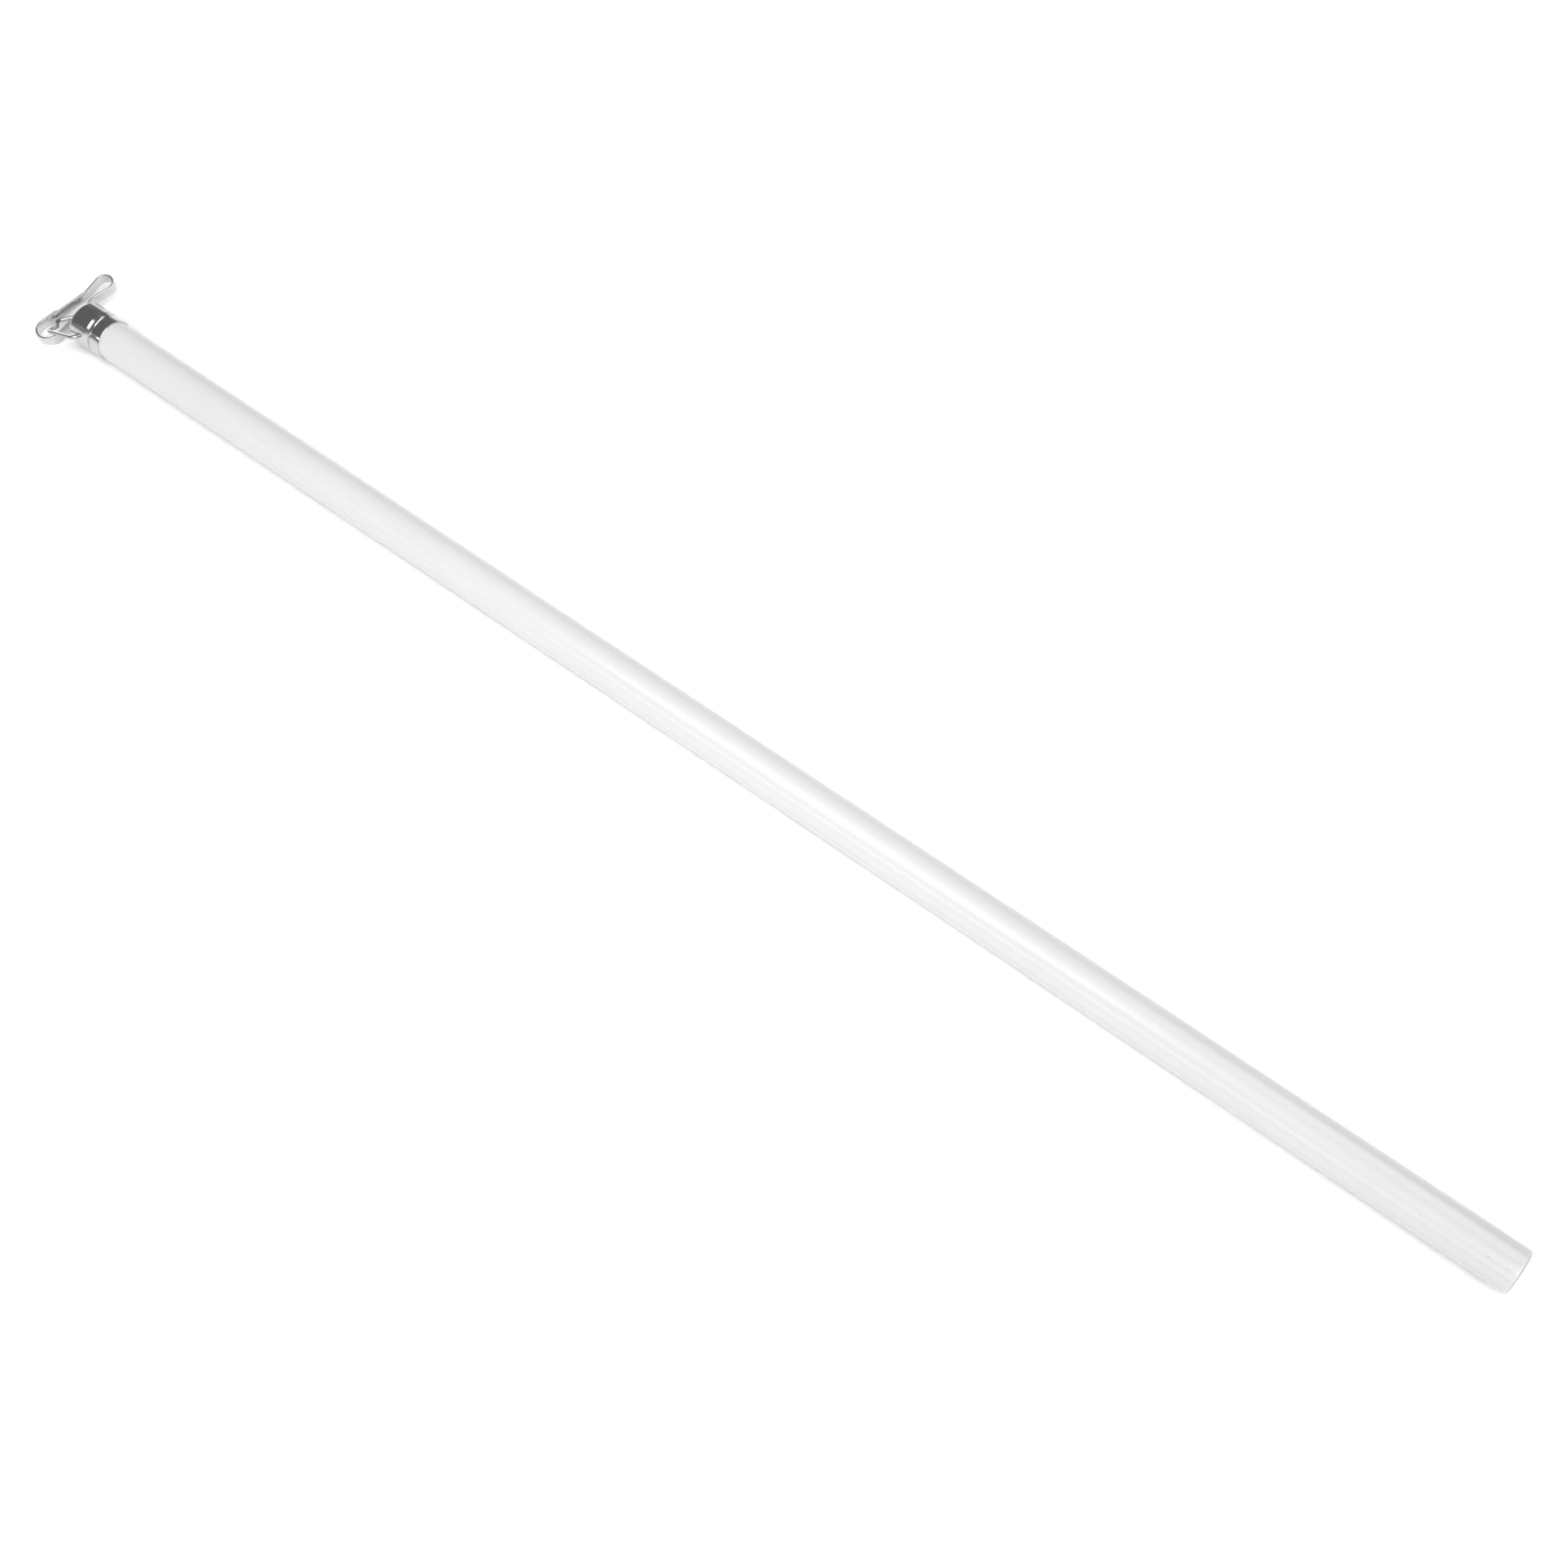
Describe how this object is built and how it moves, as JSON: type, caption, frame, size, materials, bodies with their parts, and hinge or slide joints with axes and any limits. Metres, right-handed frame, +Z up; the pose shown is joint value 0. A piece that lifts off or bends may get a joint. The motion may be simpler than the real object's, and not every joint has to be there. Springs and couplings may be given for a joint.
{
  "type": "curtain wand",
  "caption": "Long white curtain draw wand: round rod, grooved metal ferrule, pivoting wire bail and a springy strip clip that hooks onto a curtain carrier.",
  "frame": {"origin": "middle of the footprint, on the surface the wand lies on", "axes": "+X along the rod from the ferrule to the tail, +Z up"},
  "size_m": [0.4936, 0.029, 0.0131],
  "materials": {
    "rod": "glossy white",
    "ferrule": "bright plated",
    "wire": "bright plated",
    "strip": "satin"
  },
  "bodies": {
    "wand": {"rod": "rod", "ferrule": "ferrule"},
    "bail": {"bail": "wire"},
    "clip": {"clip": "strip"}
  },
  "joints": [
    {"name": "bail_swing", "type": "hinge", "parent": "wand", "child": "bail", "pos_m": [-0.22879, -0.00332, 0.00653], "axis": [0, -0.9563, 0.2924], "range_deg": [-118, 82]},
    {"name": "clip_turn", "type": "hinge", "parent": "bail", "child": "clip", "pos_m": [-0.23921, -0.00332, 0.00132], "axis": [-0.0523, 0.9915, 0.1192], "range_deg": [-10, 70]}
  ]
}
